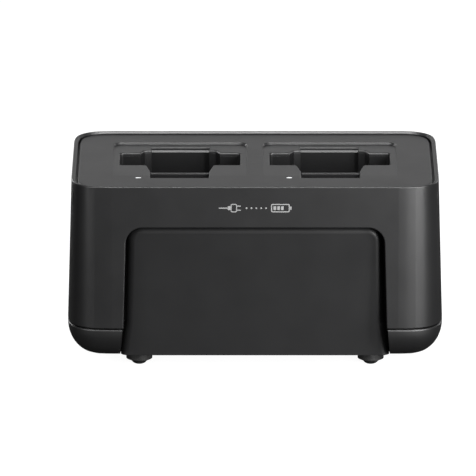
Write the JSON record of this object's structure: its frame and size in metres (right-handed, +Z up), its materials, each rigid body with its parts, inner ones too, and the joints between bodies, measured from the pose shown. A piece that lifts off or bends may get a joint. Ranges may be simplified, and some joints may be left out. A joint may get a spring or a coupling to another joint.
{
  "type": "two-bay charging station",
  "caption": "Desktop charging station with two upright bays for portable wireless transmitters, spring contacts and status windows.",
  "frame": {"origin": "on the ground under the centre of the station, at the tips of its feet", "axes": "+X to the station's right as seen from the front, +Y to the back, +Z up"},
  "size_m": [0.2, 0.116, 0.105],
  "materials": {
    "housing": "fine-textured anthracite",
    "deck": "fine-textured anthracite",
    "tray": "fine-textured black",
    "panel": "fine-textured black",
    "well": "fine-textured black",
    "foot_rubber": "satin black",
    "light_pipe": "frosted white",
    "led": "clear lens",
    "screw_steel": "zinc plated",
    "circuit_board": "green solder mask",
    "chip": "moulded black",
    "inductor": "pressed ferrite grey",
    "capacitor_can": "drawn can",
    "socket_plastic": "moulded black",
    "socket_shield": "nickel-plated shield",
    "contact_gold": "gold plated",
    "spring_steel": "bright spring wire",
    "ribbon": "grey ribbon",
    "button": "moulded black",
    "ballast_steel": "zinc-grey coated",
    "label": "blank matt film"
  },
  "bodies": {
    "station": {"outer_housing": "housing", "top_deck": "deck", "base_tray": "tray", "front_panel": "panel", "rear_panel": "panel", "foot_front_left": "foot_rubber", "foot_front_right": "foot_rubber", "foot_rear_left": "foot_rubber", "foot_rear_right": "foot_rubber", "base_screws": "screw_steel", "deck_screws": "screw_steel", "main_board_screws": "screw_steel", "ballast_screws": "screw_steel", "front_panel_screws": "screw_steel", "rear_panel_screws": "screw_steel", "contact_board_screws": "screw_steel", "main_board": "circuit_board", "board_chips": "chip", "power_inductors": "inductor", "capacitors": "capacitor_can", "cable_sockets": "socket_plastic", "dc_socket": "socket_plastic", "dc_socket_pin": "contact_gold", "network_socket": "socket_shield", "network_contacts": "contact_gold", "reset_switch": "socket_plastic", "ballast_plate": "ballast_steel", "rating_label": "label", "bay_well_left": "well", "light_pipe_left": "light_pipe", "contact_board_left": "circuit_board", "contact_block_left": "socket_plastic", "status_led_left": "led", "ribbon_cable_left": "ribbon", "contact_spring_left_1": "spring_steel", "contact_spring_left_2": "spring_steel", "contact_spring_left_3": "spring_steel", "contact_spring_left_4": "spring_steel", "bay_well_right": "well", "light_pipe_right": "light_pipe", "contact_board_right": "circuit_board", "contact_block_right": "socket_plastic", "status_led_right": "led", "ribbon_cable_right": "ribbon", "contact_spring_right_1": "spring_steel", "contact_spring_right_2": "spring_steel", "contact_spring_right_3": "spring_steel", "contact_spring_right_4": "spring_steel"},
    "reset_button": {"reset_button": "button"},
    "contact_pin_left_1": {"contact_pin_left_1": "contact_gold"},
    "contact_pin_left_2": {"contact_pin_left_2": "contact_gold"},
    "contact_pin_left_3": {"contact_pin_left_3": "contact_gold"},
    "contact_pin_left_4": {"contact_pin_left_4": "contact_gold"},
    "contact_pin_right_1": {"contact_pin_right_1": "contact_gold"},
    "contact_pin_right_2": {"contact_pin_right_2": "contact_gold"},
    "contact_pin_right_3": {"contact_pin_right_3": "contact_gold"},
    "contact_pin_right_4": {"contact_pin_right_4": "contact_gold"}
  },
  "joints": [
    {"name": "contact_pin_left_1_press", "type": "slide", "parent": "station", "child": "contact_pin_left_1", "axis": [0, 0, -1], "range_m": [0, 0.0015], "stiffness_N_per_m": 700, "deforming": ["contact_spring_left_1"]},
    {"name": "contact_pin_left_2_press", "type": "slide", "parent": "station", "child": "contact_pin_left_2", "axis": [0, 0, -1], "range_m": [0, 0.0015], "stiffness_N_per_m": 700, "deforming": ["contact_spring_left_2"]},
    {"name": "contact_pin_left_3_press", "type": "slide", "parent": "station", "child": "contact_pin_left_3", "axis": [0, 0, -1], "range_m": [0, 0.0015], "stiffness_N_per_m": 700, "deforming": ["contact_spring_left_3"]},
    {"name": "contact_pin_left_4_press", "type": "slide", "parent": "station", "child": "contact_pin_left_4", "axis": [0, 0, -1], "range_m": [0, 0.0015], "stiffness_N_per_m": 700, "deforming": ["contact_spring_left_4"]},
    {"name": "contact_pin_right_1_press", "type": "slide", "parent": "station", "child": "contact_pin_right_1", "axis": [0, 0, -1], "range_m": [0, 0.0015], "stiffness_N_per_m": 700, "deforming": ["contact_spring_right_1"]},
    {"name": "contact_pin_right_2_press", "type": "slide", "parent": "station", "child": "contact_pin_right_2", "axis": [0, 0, -1], "range_m": [0, 0.0015], "stiffness_N_per_m": 700, "deforming": ["contact_spring_right_2"]},
    {"name": "contact_pin_right_3_press", "type": "slide", "parent": "station", "child": "contact_pin_right_3", "axis": [0, 0, -1], "range_m": [0, 0.0015], "stiffness_N_per_m": 700, "deforming": ["contact_spring_right_3"]},
    {"name": "contact_pin_right_4_press", "type": "slide", "parent": "station", "child": "contact_pin_right_4", "axis": [0, 0, -1], "range_m": [0, 0.0015], "stiffness_N_per_m": 700, "deforming": ["contact_spring_right_4"]},
    {"name": "reset_button_press", "type": "slide", "parent": "station", "child": "reset_button", "axis": [0, -1, 0], "range_m": [0, 0.0004], "stiffness_N_per_m": 900}
  ]
}
